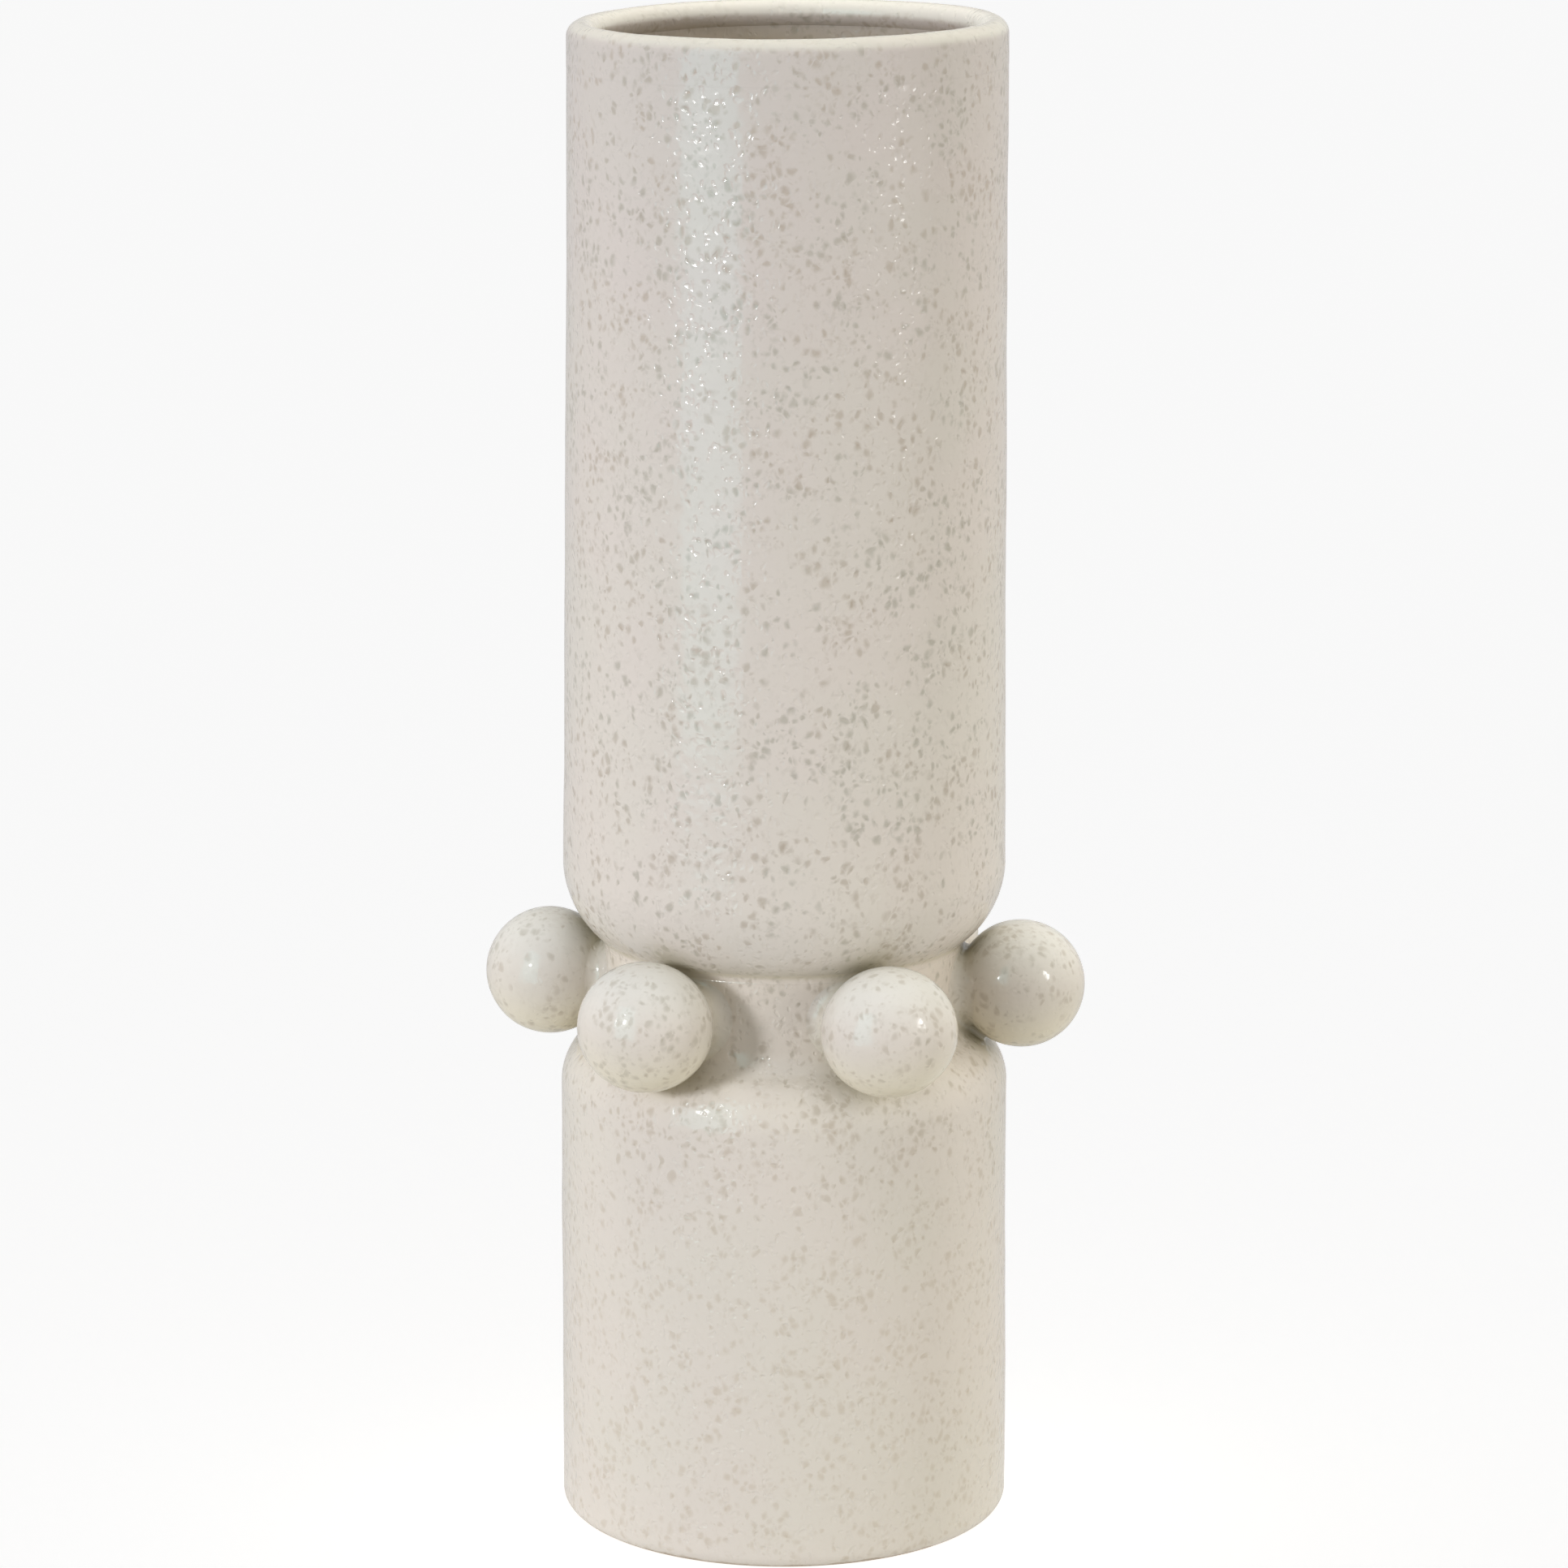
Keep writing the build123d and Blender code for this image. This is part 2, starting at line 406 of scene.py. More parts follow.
def make_waist():
    start = 180 + shoulder_angle
    crease = crease_height - slip_seam
    return turned("waist", joined(
        arc(blend_center, waist_blend, start, 180),
        line((waist_radius, blend_center[1]), (waist_radius, crease), waist_step),
        line((crease_inside[0], crease_inside[1] - slip_seam), (crease_inside[0], blend_center[1])),
        arc(blend_center, waist_blend + wall, 180, start, 4),
    ))


def make_waist_seam():
    """The slip between the waist and the bowl, smoothed into a small hollow on the outside."""
    inside = crease_inside[1]
    hollow_radius = waist_radius + crease_fillet
    across = hollow_radius - bowl_center[0]
    rise = math.sqrt((bowl_turn + crease_fillet) ** 2 - across**2)
    hollow = (hollow_radius, bowl_center[1] - rise)
    to_bowl = math.degrees(math.atan2(rise, -across))
    touch = bowl_angle_at(hollow)
    return turned("waist_seam", joined(
        arc(hollow, crease_fillet, 180, to_bowl, 8),
        arc(bowl_center, bowl_turn, touch, -bowl_angle, 1),
        [(crease_inside[0], inside), (crease_inside[0], inside - slip_seam)],
        line((waist_radius, crease_height - slip_seam), (waist_radius, hollow[1]), waist_step / 2),
    ))


def bowl_angle_at(point):
    """Direction in degrees of a point of (radius, height) from the bowl's centre of turn."""
    return math.degrees(math.atan2(point[1] - bowl_center[1], point[0] - bowl_center[0]))


def make_upper_drum():
    top = rim_seam_top - slip_seam
    outer = arc(bowl_center, bowl_turn, -bowl_angle, 0)
    inner = arc(bowl_center, bowl_turn_inside, 0, -bowl_angle_inside, 4)
    return turned("upper_drum", joined(
        outer,
        line(outer[-1], (drum_top_radius, top)),
        line((rim_wall_inside, top), inner[0], hidden_step),
        inner,
    ))


def rim_side_radius(level):
    """Outside radius just under the rolled rim."""
    share = (level - bowl_center[1]) / (rim_center[1] - bowl_center[1])
    return bowl_radius + (rim_radius - bowl_radius) * share


def make_rim_seam():
    low = rim_seam_top - slip_seam
    return turned("rim_seam", [
        (rim_wall_inside, low),
        (drum_top_radius, low),
        (rim_side_radius(rim_seam_top), rim_seam_top),
        (rim_wall_inside, rim_seam_top),
    ])


def make_rim():
    roll = arc(rim_center, rim_coil, 0, rim_tuck_angle, 6)
    return turned("rim", joined(
        line((rim_side_radius(rim_seam_top), rim_seam_top), roll[0]),
        roll,
        line(roll[-1], (rim_wall_inside, rim_seam_top)),
    ))


# ---------------------------------------------------------------- balls and their slip joints
steps_round_ball = 120
outer_steps = 56
inner_steps = 20
widest_contact = 12 * MM    # no ball meets the vase farther than this from the ball's axis


def waist_depth(out, turn):
    """X of the vase's outer surface beside a ball's axis, that far out from it at that turn."""
    across = out * math.cos(turn) * ball_width
    up = out * math.sin(turn) * ball_flatness
    radius = outside_radius(ball_height + up)
    return math.sqrt(max(0.0, radius**2 - across**2))


def collar_depth(out, turn):
    """The same for the waist alone, which goes on up behind the bowl."""
    across = out * math.cos(turn) * ball_width
    up = out * math.sin(turn) * ball_flatness
    radius = outside_radius(min(ball_height + up, crease_height - slip_seam))
    return math.sqrt(max(0.0, radius**2 - across**2))


def ball_depth(out, radius=ball_radius):
    """X of the ball's back, that far out from its axis."""
    return ball_ring_radius - math.sqrt(max(0.0, radius**2 - out**2))


def halved(low, high, is_past):
    """The value between low and high where is_past turns true."""
    for _ in range(40):
        middle = (low + high) / 2
        if is_past(middle):
            high = middle
        else:
            low = middle
    return (low + high) / 2


def contact_at(turn, depth=waist_depth):
    """Distance from a ball's axis to where the ball meets the vase."""
    return halved(0, widest_contact, lambda out: ball_depth(out) > depth(out, turn))


def around_ball(angle):
    """Function that puts a point (out from the axis, x) of step i in its place on the vase."""
    turns = [2 * math.pi * i / steps_round_ball for i in range(steps_round_ball)]

    def place(i, point):
        out, x = point
        y = out * math.cos(turns[i]) * ball_width
        z = ball_height + out * math.sin(turns[i]) * ball_flatness
        return (
            x * math.cos(angle) - y * math.sin(angle),
            x * math.sin(angle) + y * math.cos(angle),
            z,
        )

    return turns, place


def make_ball(number, angle):
    turns, place = around_ball(angle)
    sections = []
    for turn in turns:
        contact = contact_at(turn)
        contact_angle = math.pi - math.asin(contact / ball_radius)
        outer = [
            (ball_radius * math.sin(a), ball_ring_radius + ball_radius * math.cos(a))
            for a in np.linspace(0, contact_angle, outer_steps)
        ]
        seat = [
            (out, waist_depth(out, turn))
            for out in np.linspace(contact, ball_pour_hole, 4)[1:]
        ]
        inside = ball_radius - ball_wall
        hole_angle = math.pi - math.asin(ball_pour_hole / inside)
        inner = [
            (inside * math.sin(a), ball_ring_radius + inside * math.cos(a))
            for a in np.linspace(hole_angle, 0, inner_steps)
        ]
        sections.append(outer + seat + inner)
    return swept(f"ball_{number}_glazed", sections, place)


side_fillet = 4.6 * MM      # slip smoothed into the sides of each ball's joint
edge_fillet = 0.9 * MM      # above and below a ball there is only a crevice
slip_start = 1.0 * MM       # the wall is looked at from this far inside a ball's contact
slip_reach = 20.0 * MM      # to this far outside it, because the slip ends nearer than that
slip_climb = math.radians(60)    # and climbs less than this round the ball
wall_samples = 220
climb_samples = 120


def joint_section(turn, fillet):
    """Section of the slip round a ball: back along the ball, the smoothed hollow, the waist."""
    contact = contact_at(turn, collar_depth)
    reach = ball_radius + fillet
    outs = np.linspace(contact - slip_start, contact + slip_reach, wall_samples)
    wall_line = [(out, collar_depth(out, turn)) for out in outs]

    def center(lift):
        return reach * math.sin(lift), ball_ring_radius - reach * math.cos(lift)

    def clear(lift):
        here = center(lift)
        return here[1] > collar_depth(here[0], turn) and min(
            math.dist(here, point) for point in wall_line
        ) > fillet

    start = math.asin(contact / ball_radius)
    lifts = np.linspace(start, start + slip_climb, climb_samples)
    first = next(i for i, lift in enumerate(lifts) if clear(lift))
    lift = halved(lifts[first - 1], lifts[first], clear)
    middle = center(lift)
    touch = min(wall_line, key=lambda point: math.dist(middle, point))
    on_wall = math.atan2(touch[0] - middle[0], touch[1] - middle[1])
    if on_wall > 0:
        on_wall -= 2 * math.pi
    hollow = [
        (middle[0] + fillet * math.sin(a), middle[1] + fillet * math.cos(a))
        for a in np.linspace(-lift, on_wall, 12)
    ]
    along_wall = [
        (out, collar_depth(out, turn)) for out in np.linspace(touch[0], contact, 8)[1:-1]
    ]
    along_ball = [
        (ball_radius * math.sin(a), ball_ring_radius - ball_radius * math.cos(a))
        for a in np.linspace(start, lift, 8)[:-1]
    ]
    return hollow + along_wall + along_ball


def make_ball_joint(number, angle):
    turns, place = around_ball(angle)
    sections = []
    for turn in turns:
        fillet = edge_fillet + (side_fillet - edge_fillet) * math.cos(turn) ** 2
        sections.append(joint_section(turn, fillet))
    return swept(f"ball_joint_{number}", sections, place)


# ---------------------------------------------------------------- material helpers
class Nodes:
    """Short ways to add nodes to one material."""

    def __init__(self, name):
        self.material = bpy.data.materials.new(name)
        self.material.use_nodes = True
        self.tree = self.material.node_tree
        self.shader = self.tree.nodes["Principled BSDF"]

    def add(self, kind, **settings):
        node = self.tree.nodes.new(kind)
        for key, value in settings.items():
            setattr(node, key, value)
        return node

    def join(self, source, target):
        self.tree.links.new(source, target)

    def feed(self, node, inputs):
        for key, value in inputs.items():
            if isinstance(value, bpy.types.NodeSocket):
                self.join(value, node.inputs[key])
            else:
                node.inputs[key].default_value = value

    def place(self, stretch=(1, 1, 1)):
        """Coordinates in the vase's own frame, in metres."""
        mapping = self.add("ShaderNodeMapping")
        self.join(self.add("ShaderNodeTexCoord").outputs["Object"], mapping.inputs["Vector"])
        mapping.inputs["Scale"].default_value = stretch
        return mapping.outputs["Vector"]

    def noise(self, where, size, detail=2.0, roughness=0.5):
        """Smooth noise around 0.5 with features of that size in metres."""
        node = self.add("ShaderNodeTexNoise")
        self.feed(node, {"Vector": where, "Scale": 1 / size, "Detail": detail, "Roughness": roughness})
        return node

    def cells(self, where, size):
        """Scattered points about that far apart in metres."""
        node = self.add("ShaderNodeTexVoronoi")
        self.feed(node, {"Vector": where, "Scale": 1 / size})
        return node

    def math(self, operation, a, b=0.0, clamp=False):
        node = self.add("ShaderNodeMath", operation=operation, use_clamp=clamp)
        self.feed(node, {0: a, 1: b})
        return node.outputs[0]

    def ramp(self, value, low, high, out_low=0.0, out_high=1.0):
        """Smooth change from out_low to out_high as value goes from low to high."""
        node = self.add("ShaderNodeMapRange", interpolation_type="SMOOTHSTEP")
        self.feed(node, {"Value": value, 1: low, 2: high, 3: out_low, 4: out_high})
        return node.outputs["Result"]

    def mix(self, share, a, b):
        """Color a, with that share of color b over it."""
        node = self.add("ShaderNodeMix", data_type="RGBA")
        self.feed(node, {"Factor": share, 6: a, 7: b})
        return node.outputs[2]

    def vector_math(self, operation, a, b):
        node = self.add("ShaderNodeVectorMath", operation=operation)
        self.feed(node, {0: a, 1: b})
        return node.outputs[0]

    def scaled(self, vector, factor):
        node = self.add("ShaderNodeVectorMath", operation="SCALE")
        self.feed(node, {0: vector, "Scale": factor})
        return node.outputs[0]

    def stored(self, name):
        """The number that mark() stored under this name."""
        return self.add("ShaderNodeAttribute", attribute_name=name).outputs["Fac"]

    def part(self, vector, letter):
        """One of X, Y and Z of a vector or color."""
        node = self.add("ShaderNodeSeparateXYZ")
        self.join(vector, node.inputs[0])
        return node.outputs[letter]


def color(red, green, blue):
    return (red, green, blue, 1.0)


# ---------------------------------------------------------------- glaze
glaze_painted_lit_low = color(0.664, 0.612, 0.526)    # low on the vase, painted lighter as light from the bright floor
glaze_painted_shaded_high = color(0.476, 0.432, 0.396)       # high on the vase, painted darker as shade
glaze_pink = color(0.620, 0.540, 0.485)      # clouds in it
glaze_green = color(0.580, 0.555, 0.465)
glaze_pooled_and_bounce_lit = color(0.755, 0.690, 0.510)    # yellow-green glaze low on the balls, made lighter as painted light bounced up from the shoulder
glaze_painted_top_sheen = color(0.625, 0.612, 0.560)      # painted overhead light and sheen on top of the balls
glaze_painted_waist_bounce = color(0.700, 0.600, 0.480)    # in the waist: painted warm bounce light
glaze_seep_and_painted_shade = color(0.500, 0.455, 0.320)      # beside a crevice: gathered glaze with painted shade
glaze_deep_and_painted_shade = color(0.215, 0.160, 0.100)      # in it: gathered glaze with painted shade
# the inner wall's own warmer colour is painted light and shade of the vase's inside
glaze_painted_inside_light = color(0.740, 0.650, 0.480)
# the rolled rim: thinner glaze, and painted light on its top
glaze_rim_thin_and_painted_light = color(0.535, 0.515, 0.455)
glaze_mouth_thin_and_painted_light = color(0.680, 0.660, 0.590)     # on the rim's inner side: thinner glaze, and painted light
speck_tan = color(0.360, 0.265, 0.140)       # low on the vase
speck_brown = color(0.330, 0.270, 0.200)
speck_green = color(0.280, 0.262, 0.200)
clay_bare = color(0.420, 0.350, 0.275)
clay_light = color(0.520, 0.450, 0.360)

cloud_size = 46 * MM
hue_size = 21 * MM           # over which specks turn from brown to green
cluster_size = 15 * MM
large_speck = 1.16 * MM
large_spacing = 2.9 * MM
small_speck = 0.55 * MM
small_spacing = 1.9 * MM
dust_size = 2.0 * MM
dust_strength = 0.22
small_strength = 0.38
large_strength = 0.50
low_strength = 0.48          # specks keep this share of their strength low on the vase,
pale_below = 0.10 * height   # below this level,
full_above = 0.48 * height   # and are at full strength above this one

pit_size = 0.85 * MM
pit_spacing = 2.3 * MM
pit_depth = 0.12 * MM
speck_depth = 0.03 * MM
peel_size = 4.0 * MM         # fine waves all over the glaze
peel_height = 0.15 * MM
bend_size = 5.0 * MM         # rows of specks are bent by waves of this length
bend_reach = 3.4 * MM        # and this height,
fray_size = 1.4 * MM         # and their edges by finer ones
fray_reach = 0.9 * MM
speck_squeeze = 0.88         # makes the specks a little taller than wide
gloss_size = 9 * MM          # over which the glaze turns glossier or duller
glossy = 0.12                # its roughness where it is glossiest
dull = 0.17
foot_line_size = 7 * MM      # length of the waves in the line where the glaze ends at the foot
clay_grain = 0.9 * MM
clay_grain_height = 0.08 * MM


def bent(nodes, where, size, reach):
    """Coordinates pushed about by noise, so that dots lose their roundness and their rows."""
    wander = nodes.noise(where, size, 1.0)
    offset = nodes.vector_math("SUBTRACT", wander.outputs["Color"], (0.5, 0.5, 0.5))
    return nodes.vector_math("ADD", where, nodes.scaled(offset, reach))


def specks(nodes, where, spacing, reach, rare, cluster=0.0):
    """Soft dots: 1 in the middle of a dot, 0 between dots. Fewer where cluster is low."""
    cells = nodes.cells(where, spacing)
    chance = nodes.part(cells.outputs["Color"], "X")
    kept = nodes.ramp(nodes.math("ADD", chance, cluster), rare, rare + 0.22)
    spread = nodes.math("MULTIPLY", nodes.part(cells.outputs["Color"], "Y"), 0.7)
    edge = nodes.math("MULTIPLY", nodes.math("ADD", spread, 0.75), reach / spacing)
    core = nodes.math("DIVIDE", cells.outputs["Distance"], edge)
    return nodes.math("MULTIPLY", nodes.ramp(core, 0.30, 1.20, 1.0, 0.0), kept)


def speck_layers(nodes, where, ragged):
    """Dust, small specks and large specks, gathered in the same clusters."""
    groups = nodes.noise(where, cluster_size, 3.0, 0.6).outputs["Fac"]
    cluster = nodes.ramp(groups, 0.36, 0.64, -0.34, 0.30)
    large = specks(nodes, ragged, large_spacing, large_speck, 0.30, cluster)
    small = specks(nodes, ragged, small_spacing, small_speck, 0.55, cluster)
    grains = nodes.ramp(nodes.noise(where, dust_size, 2.0, 0.6).outputs["Fac"], 0.50, 0.74)
    dust = nodes.math("MULTIPLY", grains, nodes.ramp(groups, 0.36, 0.64, 0.3, 1.0))
    return dust, small, large


def lip_share(nodes, level):
    """1 on top of the rolled rim and 0 below it. On the inner side it reaches a little lower."""
    lift = nodes.math("MULTIPLY", nodes.stored("mouth"), 0.35 * rim_coil)
    lifted = nodes.math("ADD", level, lift)
    return nodes.ramp(lifted, height - 0.85 * rim_coil, height - 0.40 * rim_coil)


def glaze_with_painted_height_light(nodes, where, level, on_lip):
    """The glaze between its specks, with large faint clouds. It is paler low on the vase and darker
    high up, which is painted light from the bright floor.
    """
    cloud = nodes.noise(where, cloud_size, 2.0).outputs["Fac"]
    tint = nodes.mix(nodes.ramp(cloud, 0.36, 0.64), glaze_pink, glaze_green)
    rise = nodes.math("POWER", nodes.math("DIVIDE", level, height, clamp=True), 1.6)
    # painted light: the colour turns from floor-lit low on the vase to shaded high up
    painted_height_light = nodes.mix(rise, glaze_painted_lit_low, glaze_painted_shaded_high)
    if on_lip is not None:
        # the lip made lighter: thinner glaze, and painted light on its top and inner side
        painted_height_light = nodes.mix(on_lip, painted_height_light, nodes.mix(nodes.stored("mouth"), glaze_rim_thin_and_painted_light, glaze_mouth_thin_and_painted_light))
    return nodes.mix(0.18, painted_height_light, tint)


def run_down_and_painted_light(nodes, level, body, run_and_painted_light):
    """Yellow-green glaze gathered low on the balls, made lighter there as painted bounce light from the
    shoulder, and a lighter, cooler colour on their tops that is a painted overhead sheen.
    """
    low = ball_height - ball_radius
    # painted bounce light under the balls, over their yellow-green glaze
    under = nodes.ramp(level, low, ball_height + 0.2 * ball_radius, run_and_painted_light, 0.0)
    # painted overhead light and sheen on the balls' tops
    above = nodes.ramp(level, ball_height, ball_height + 0.9 * ball_radius, 0.0, run_and_painted_light)
    body = nodes.mix(under, body, glaze_pooled_and_bounce_lit)
    return nodes.mix(above, body, glaze_painted_top_sheen)


def painted_waist_bounce(nodes, level, body, hollow):
    """A warmer colour from the end of the shoulder up through the waist: painted warm light bounced
    between the glazed parts.
    """
    in_waist = nodes.ramp(level, shoulder_end_height, shoulder_end_height + waist_blend, 0.0, hollow)
    return nodes.mix(in_waist, body, glaze_painted_waist_bounce)


def speckle(nodes, where, level, body, layers, speckled, on_lip):
    """Lays the specks over the glaze, browner and fainter low on the vase, few of them on the lip."""
    up = nodes.ramp(level, pale_below, full_above)
    depth = nodes.ramp(up, 0.0, 1.0, low_strength * speckled, speckled)
    if on_lip is not None:
        hidden = nodes.math("MULTIPLY", on_lip, 0.8)
        depth = nodes.math("MULTIPLY", depth, nodes.math("SUBTRACT", 1.0, hidden))
    hue = nodes.ramp(nodes.noise(where, hue_size, 1.0).outputs["Fac"], 0.42, 0.60)
    speck_color = nodes.mix(up, speck_tan, nodes.mix(hue, speck_brown, speck_green))
    for dots, strength in zip(layers, (dust_strength, small_strength, large_strength)):
        share = nodes.math("MULTIPLY", nodes.math("MULTIPLY", dots, depth), strength)
        body = nodes.mix(share, body, speck_color)
    return body


def glaze(name, run_and_painted_light=0.0, hollow=0.0, speckled=1.0, pitted=1.0, bare_below=0.0, lip=False):
    """Speckled satin glaze.

    pooled is how far it has run down the balls, and how strong the painted bounce light under
    them and the painted sheen on their tops are, hollow how strong the painted warm bounce light
    in the waist is, speckled and pitted how strong its specks and pits are, and bare_below the
    highest that bare clay comes at the foot. With lip it thins over the rolled rim, where it is
    lighter, partly from the thinner glaze and partly from painted light, and hides the specks.
    """
    nodes = Nodes(name)
    where = nodes.place()
    level = nodes.part(where, "Z")
    crevice = nodes.stored("crevice")
    upright = nodes.place((1.0, 1.0, speck_squeeze))
    unruly = bent(nodes, upright, bend_size, bend_reach)
    ragged = bent(nodes, unruly, fray_size, fray_reach)
    layers = speck_layers(nodes, where, ragged)
    on_lip = lip_share(nodes, level) if lip else None

    body = glaze_with_painted_height_light(nodes, where, level, on_lip)
    if run_and_painted_light:
        body = run_down_and_painted_light(nodes, level, body, run_and_painted_light)
    if hollow:
        # painted warm bounce light in the waist
        body = painted_waist_bounce(nodes, level, body, hollow)
    body = speckle(nodes, where, level, body, layers, speckled, on_lip)
    # the inner wall gets its painted inside light and shade
    body = nodes.mix(nodes.math("MULTIPLY", nodes.stored("inside"), 0.75), body, glaze_painted_inside_light)
    # crevices and the crease darkened: gathered glaze, and painted shade
    body = nodes.mix(nodes.ramp(crevice, 0.05, 0.60, 0.0, 0.75), body, glaze_seep_and_painted_shade)
    body = nodes.mix(nodes.ramp(crevice, 0.45, 1.0, 0.0, 0.90), body, glaze_deep_and_painted_shade)

    peel = nodes.noise(where, peel_size, 1.0).outputs["Fac"]
    pits = specks(nodes, ragged, pit_spacing, pit_size, 0.25)
    relief = nodes.math("MULTIPLY", peel, peel_height)
    relief = nodes.math("SUBTRACT", relief, nodes.math("MULTIPLY", pits, pit_depth * pitted))
    relief = nodes.math("SUBTRACT", relief, nodes.math("MULTIPLY", layers[2], speck_depth))
    patches = nodes.noise(where, gloss_size, 2.0).outputs["Fac"]
    gloss = nodes.ramp(patches, 0.35, 0.65, glossy, dull)

    if bare_below:
        waves = nodes.noise(where, foot_line_size, 2.0).outputs["Fac"]
        over_line = nodes.math("SUBTRACT", level, nodes.math("MULTIPLY", waves, bare_below))
        bare = nodes.ramp(over_line, -0.1 * MM, 0.25 * MM, 1.0, 0.0)
        grain = nodes.noise(where, clay_grain, 3.0, 0.7).outputs["Fac"]
        clay = nodes.mix(nodes.ramp(grain, 0.3, 0.7), clay_bare, clay_light)
        body = nodes.mix(bare, body, clay)
        gloss = nodes.math("ADD", gloss, nodes.math("MULTIPLY", bare, 0.5), clamp=True)
        relief = nodes.math("ADD", relief, nodes.math("MULTIPLY", grain, clay_grain_height))

    bump = nodes.add("ShaderNodeBump")
    nodes.feed(bump, {"Strength": 1.0, "Distance": 1.0, "Height": relief})
    nodes.feed(nodes.shader, {
        "Base Color": body,
        "Roughness": gloss,
        "Normal": bump.outputs["Normal"],
        "IOR": 1.5,
    })
    return nodes.material


# ---------------------------------------------------------------- pieces
def dress(piece, material, slot, *nodes):
    """Gives a piece its material and puts it in place of its CAD node; slot is not used."""
    piece.data.materials.append(material)
    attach(piece, "root")
    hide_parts(*nodes)


drum_glaze = glaze("glaze_on_drums")
ball_glaze = glaze("glaze_on_balls", run_and_painted_light=0.9, speckled=0.80, pitted=0.3)
waist_glaze = glaze("glaze_in_waist", hollow=0.35)
joint_glaze = glaze("glaze_on_joints", run_and_painted_light=0.5, speckled=0.8)
rim_glaze = glaze("glaze_on_rim", lip=True)
foot_glaze = glaze("glaze_on_foot", bare_below=2.6 * MM)

dress(make_base(), foot_glaze, "foot_stoneware", "base_disc")
dress(make_base_seam(), drum_glaze, "slip", "base_slip_seam")
dress(make_floor_coil(), drum_glaze, "glazed_stoneware", "floor_coil")
dress(make_lower_drum(), drum_glaze, "glazed_stoneware", "lower_cylinder")
dress(make_shoulder_seam(), drum_glaze, "slip", "shoulder_slip_seam")
dress(make_waist(), waist_glaze, "glazed_stoneware", "waist_collar")
dress(make_waist_seam(), waist_glaze, "slip", "waist_slip_seam")
dress(make_upper_drum(), drum_glaze, "glazed_stoneware", "upper_cylinder")
dress(make_rim_seam(), drum_glaze, "slip", "rim_slip_seam")
dress(make_rim(), rim_glaze, "glazed_stoneware", "rim_lip")

for number, angle in enumerate(ball_angles, start=1):
    dress(make_ball(number, angle), ball_glaze, "glazed_stoneware", f"ball_{number}")
    dress(make_ball_joint(number, angle), joint_glaze, "slip", f"ball_slip_joint_{number}")


# ---------------------------------------------------------------- floor, light and camera
def around(azimuth, distance, level):
    """A place around the vase. Azimuth is in degrees, 0 towards the camera, positive to its right."""
    turn = camera_azimuth + math.radians(azimuth)
    return Vector((distance * math.sin(turn), -distance * math.cos(turn), level))


def aim(thing, target):
    """Turns a light or the camera towards a point."""
    thing.rotation_euler = (Vector(target) - thing.location).to_track_quat("-Z", "Y").to_euler()


def soft_light(name, azimuth, distance, level, width, tall, power, target, tint=(1, 1, 1), only=""):
    """An area light. only says whether it gives just diffuse light or just highlights."""
    data = bpy.data.lights.new(name, "AREA")
    data.shape = "RECTANGLE"
    data.size = width
    data.size_y = tall
    data.energy = power
    data.color = tint
    light = bpy.data.objects.new(name, data)
    bpy.context.scene.collection.objects.link(light)
    light.location = around(azimuth, distance, level)
    aim(light, target)
    light.visible_glossy = only != "diffuse"
    light.visible_diffuse = only != "highlights"
    return light


def spare(light, *names):
    """Keeps a light off some pieces."""
    group = light.light_linking.receiver_collection
    if group is None:
        group = bpy.data.collections.new(light.name + "_lit")
        light.light_linking.receiver_collection = group
    for name in names:
        group.objects.link(bpy.data.objects[name])
    for link in group.collection_objects:
        link.light_linking.link_state = "EXCLUDE"


def glowing_plane(name, level, strength):
    """A wide white plane of the studio, which glows."""
    size = 20.0    # from its middle to each side
    mesh = bpy.data.meshes.new(name)
    corners = [(-size, -size, level), (size, -size, level), (size, size, level), (-size, size, level)]
    mesh.from_pydata(corners, [], [(0, 1, 2, 3)])
    plane = bpy.data.objects.new(name, mesh)
    bpy.context.scene.collection.objects.link(plane)
    nodes = Nodes(name)
    nodes.feed(nodes.shader, {
        "Base Color": color(0.95, 0.95, 0.95),
        "Roughness": 1.0,
        "Specular IOR Level": 0.0,
        "Emission Color": color(1.0, 1.0, 1.0),
        "Emission Strength": strength,
    })
    mesh.materials.append(nodes.material)
    return plane


def make_floor():
    """A white floor for the camera, and under it a softer glow, which is the light it sends up."""
    floor = glowing_plane("floor", 0.0, 0.80)
    floor.visible_diffuse = False
    floor.visible_glossy = False
    floor.visible_shadow = False
    glow = glowing_plane("floor_glow", -1.0 * MM, 0.46)
    glow.visible_camera = False


def make_world():
    """Even white surroundings, seen brighter in reflections than they light the vase."""
    world = bpy.data.worlds.new("studio")
    world.use_nodes = True
    tree = world.node_tree
    background = tree.nodes["Background"]
    rays = tree.nodes.new("ShaderNodeLightPath")
    strength = tree.nodes.new("ShaderNodeMapRange")
    strength.inputs["To Min"].default_value = 0.15
    strength.inputs["To Max"].default_value = 0.62
    tree.links.new(rays.outputs["Is Glossy Ray"], strength.inputs["Value"])
    tree.links.new(strength.outputs["Result"], background.inputs["Strength"])
    background.inputs["Color"].default_value = (1, 1, 1, 1)
    bpy.context.scene.world = world


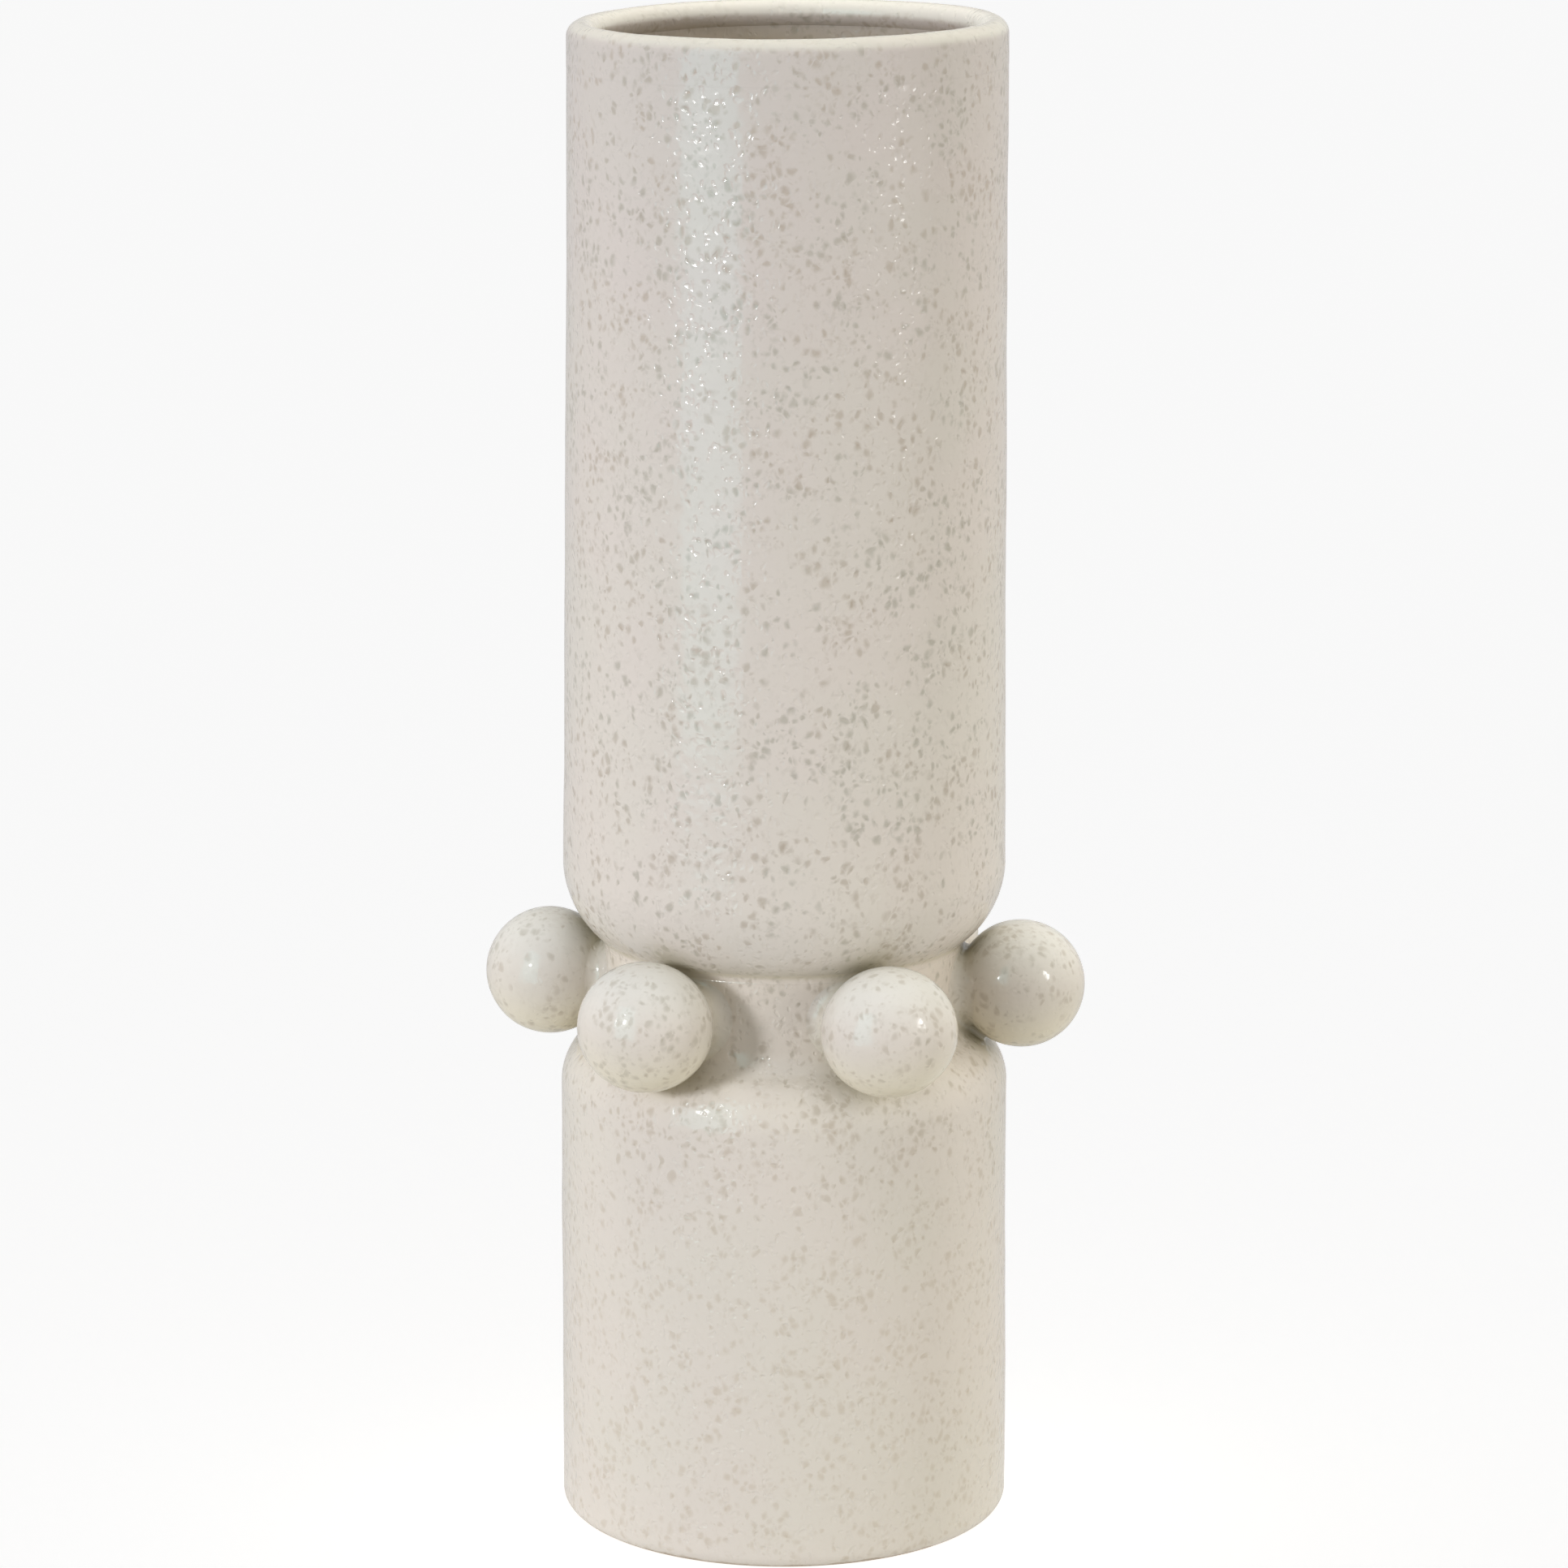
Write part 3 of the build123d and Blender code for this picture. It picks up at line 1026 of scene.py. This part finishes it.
def make_camera():
    """The camera fitted to the photograph: a long lens, a little above the vase."""
    distance = 3.854 * height
    level = 1.377 * height
    target = (0, 0, 0.495 * height)
    data = bpy.data.cameras.new("camera")
    data.sensor_width = 36.0
    data.lens = 137.19
    data.clip_end = 100.0
    camera = bpy.data.objects.new("camera", data)
    bpy.context.scene.collection.objects.link(camera)
    camera.location = around(0, distance, level)
    aim(camera, target)
    bpy.context.scene.camera = camera


def make_lights():
    """Soft panels that light the clay, and small lamps that only make highlights in the glaze."""
    middle = (0, 0, 0.5 * height)
    cool = (0.95, 0.98, 1.09)
    warm = (1.02, 1.00, 0.95)
    blue_green = (0.35, 0.92, 1.0)
    panel = 1.20

    def fill(name, azimuth, distance, level, power):
        soft_light(name, azimuth, distance, level, panel, panel, power, middle, warm, "diffuse")

    def glint(name, azimuth, distance, level, width, tall, power):
        return soft_light(name, azimuth, distance, level, width, tall, power, middle, only="highlights")

    key = soft_light("key", -46, 1.80, 0.60, 0.28, 0.28, 20.5, middle, cool, "diffuse")
    fill("fill_right", 60, 1.60, 0.40, 16.0)
    fill("fill_right_back", 110, 1.60, 0.50, 6.0)
    fill("fill_left_back", -100, 1.60, 0.50, 8.5)
    fill("over", 0, 0.30, 1.90, 15.5)
    fill("over_back", 150, 0.80, 1.70, 18.0)
    over_rim = (0, 0, 0.62)
    soft_light("soft_box_left", -39, 1.10, 0.62, 0.60, panel, 3.5, over_rim, blue_green, "highlights")
    glint_left = glint("glint_left", -42, 0.85, 0.52, 0.10, 0.16, 2.8)
    glint_balls = glint("glint_balls", -42, 0.85, 0.50, 0.04, 0.05, 0.8)
    glint_right = glint("glint_right", 56, 0.90, 0.51, 0.07, 0.18, 0.9)

    balls = [f"ball_{number}_glazed" for number in range(1, ball_count + 1)]
    spare(key, "ball_1_glazed")
    spare(glint_left, "rim", "rim_seam", "lower_drum", "shoulder_seam", "ball_joint_6", *balls)
    spare(glint_balls, "ball_6_glazed", "ball_joint_5", "ball_joint_6", "rim", "rim_seam", "upper_drum")
    spare(glint_right, "ball_5_glazed", "rim", "rim_seam", "lower_drum", "ball_joint_1", "ball_joint_5")
    for light in [thing for thing in bpy.data.objects if thing.type == "LIGHT"]:
        spare(light, "floor", "floor_glow")


make_floor()
make_world()
make_camera()
make_lights()
bpy.context.scene.view_settings.view_transform = "Standard"
